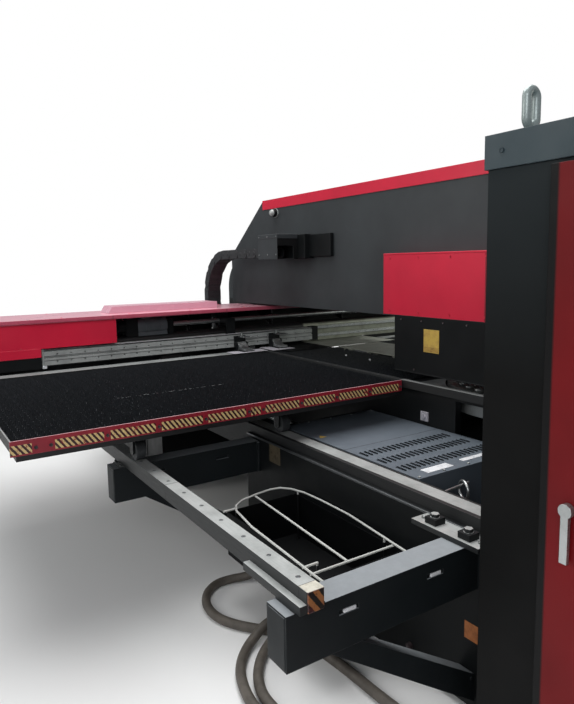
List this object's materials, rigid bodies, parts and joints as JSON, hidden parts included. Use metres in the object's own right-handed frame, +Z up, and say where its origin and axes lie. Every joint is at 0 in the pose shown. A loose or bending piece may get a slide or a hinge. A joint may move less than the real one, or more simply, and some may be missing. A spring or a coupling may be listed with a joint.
{
  "type": "cnc turret punch press",
  "caption": "Turret punch press with a bridge frame, a moving carriage with workholders on a cross slide, brush side tables, a cable chain and an electrical cabinet.",
  "frame": {"origin": "on the floor, at the middle of the overall box", "axes": "+X along the carriage, +Y from the column to the front leg, +Z up"},
  "size_m": [5, 4.9, 2.0096],
  "materials": {
    "charcoal_paint": "satin",
    "black_paint": "satin",
    "red_paint": "satin",
    "dark_red_paint": "satin",
    "cover_grey": "satin",
    "motor_grey": "satin",
    "machine_steel": "brushed",
    "ground_steel": "ground",
    "slide_aluminium": "brushed",
    "tool_steel": "oiled",
    "galvanised": "galvanised",
    "brush_bristle": "matt",
    "chain_plastic": "satin",
    "conduit_grey": "matt",
    "lamp_white": "gloss",
    "rod_white": "satin",
    "roller_rubber": "matt"
  },
  "bodies": {
    "machine": {"bridge_frame": "charcoal_paint", "top_cap": "red_paint", "rear_base": "black_paint", "front_base": "black_paint", "y_rails": "ground_steel", "louvred_covers": "cover_grey", "pull_ring": "ground_steel", "outriggers": "charcoal_paint", "support_rails": "machine_steel", "beam_clamps": "machine_steel", "scrap_tray": "black_paint", "tray_rods": "rod_white", "red_turret_covers": "red_paint", "black_turret_cover": "black_paint", "ram_cylinder": "machine_steel", "centre_table": "machine_steel", "centre_brushes": "brush_bristle", "cable_hood": "charcoal_paint", "work_lamp": "lamp_white", "cabinet_body": "black_paint", "cabinet_cap": "black_paint", "lifting_eyes": "machine_steel", "levelling_feet": "machine_steel", "y_motor": "motor_grey", "y_screw_bearings": "black_paint", "turret_shafts": "machine_steel", "conduit_a": "conduit_grey", "conduit_b": "conduit_grey", "conduit_c": "conduit_grey", "conduit_glands": "galvanised"},
    "carriage": {"carriage_beam": "machine_steel", "x_guides": "ground_steel", "carriage_roof": "red_paint", "roof_back": "black_paint", "beam_end_covers": "red_paint", "x_motor": "motor_grey", "x_screw_bearings": "black_paint", "side_table_left": "machine_steel", "side_table_right": "machine_steel", "side_brushes": "brush_bristle", "front_rails": "red_paint", "roller_brackets": "machine_steel", "chain_tray": "charcoal_paint", "y_nut_bracket": "charcoal_paint"},
    "slide": {"cross_slide": "slide_aluminium", "slide_brackets": "black_paint", "workholders": "black_paint"},
    "jaw_a": {"workholder_jaw_a": "ground_steel"},
    "jaw_b": {"workholder_jaw_b": "ground_steel"},
    "chain_loop": {"cable_chain": "chain_plastic"},
    "x_ball_screw": {"x_screw": "ground_steel"},
    "y_ball_screw": {"y_screw": "ground_steel"},
    "rollers": {"table_rollers": "roller_rubber"},
    "upper_disc": {"upper_turret": "machine_steel", "punch_tools": "tool_steel"},
    "lower_disc": {"lower_turret": "machine_steel"},
    "press_ram": {"ram": "ground_steel"},
    "flap": {"chute_flap": "machine_steel"},
    "door": {"cabinet_door": "dark_red_paint"},
    "handle": {"door_handle": "ground_steel"}
  },
  "joints": [
    {"name": "carriage_y", "type": "slide", "parent": "machine", "child": "carriage", "axis": [0, 1, 0], "range_m": [-1.27, 0]},
    {"name": "slide_x", "type": "slide", "parent": "carriage", "child": "slide", "axis": [1, 0, 0], "range_m": [-0.2, 2.3]},
    {"name": "jaw_a_clamp", "type": "hinge", "parent": "slide", "child": "jaw_a", "pos_m": [-0.7, 1.32, 0.979], "axis": [-1, 0, 0], "range_deg": [0, 12]},
    {"name": "jaw_b_clamp", "type": "hinge", "parent": "slide", "child": "jaw_b", "pos_m": [-0.405, 1.32, 0.979], "axis": [-1, 0, 0], "range_deg": [0, 12]},
    {"name": "chain_travel", "type": "slide", "parent": "machine", "child": "chain_loop", "axis": [0, 1, 0], "range_m": [-0.635, 0]},
    {"name": "x_screw_turn", "type": "hinge", "parent": "carriage", "child": "x_ball_screw", "pos_m": [0, 1.5, 1.14], "axis": [1, 0, 0], "continuous": true},
    {"name": "y_screw_turn", "type": "hinge", "parent": "machine", "child": "y_ball_screw", "pos_m": [-0.87, 0, 0.6], "axis": [0, 1, 0], "continuous": true},
    {"name": "roller_turn", "type": "hinge", "parent": "carriage", "child": "rollers", "pos_m": [0, 0.01, 0.7453], "axis": [1, 0, 0], "continuous": true},
    {"name": "upper_turret_turn", "type": "hinge", "parent": "machine", "child": "upper_disc", "pos_m": [0, -0.67, 1.05], "axis": [0, 0, 1], "continuous": true},
    {"name": "lower_turret_turn", "type": "hinge", "parent": "machine", "child": "lower_disc", "pos_m": [0, -0.67, 0.85], "axis": [0, 0, 1], "continuous": true},
    {"name": "ram_stroke", "type": "slide", "parent": "machine", "child": "press_ram", "axis": [0, 0, 1], "range_m": [-0.037, 0]},
    {"name": "flap_tilt", "type": "hinge", "parent": "machine", "child": "flap", "pos_m": [-0.001, 0.485, 0.871], "axis": [0, 1, 0], "range_deg": [0, 28]},
    {"name": "door_swing", "type": "hinge", "parent": "machine", "child": "door", "pos_m": [-1.604, -2.387, 0.9], "axis": [0, 0, 1], "range_deg": [0, 110]},
    {"name": "handle_turn", "type": "hinge", "parent": "door", "child": "handle", "pos_m": [-1.62, -1.807, 1], "axis": [1, 0, 0], "range_deg": [0, 90]}
  ],
  "couplings": [
    {"joint": "chain_travel", "follows": "carriage_y", "ratio": 0.5},
    {"joint": "y_screw_turn", "follows": "carriage_y", "rad_per_m": 157.08},
    {"joint": "roller_turn", "follows": "carriage_y", "rad_per_m": -22.222},
    {"joint": "x_screw_turn", "follows": "slide_x", "rad_per_m": 157.08},
    {"joint": "jaw_b_clamp", "follows": "jaw_a_clamp", "ratio": 1},
    {"joint": "lower_turret_turn", "follows": "upper_turret_turn", "ratio": 1}
  ]
}
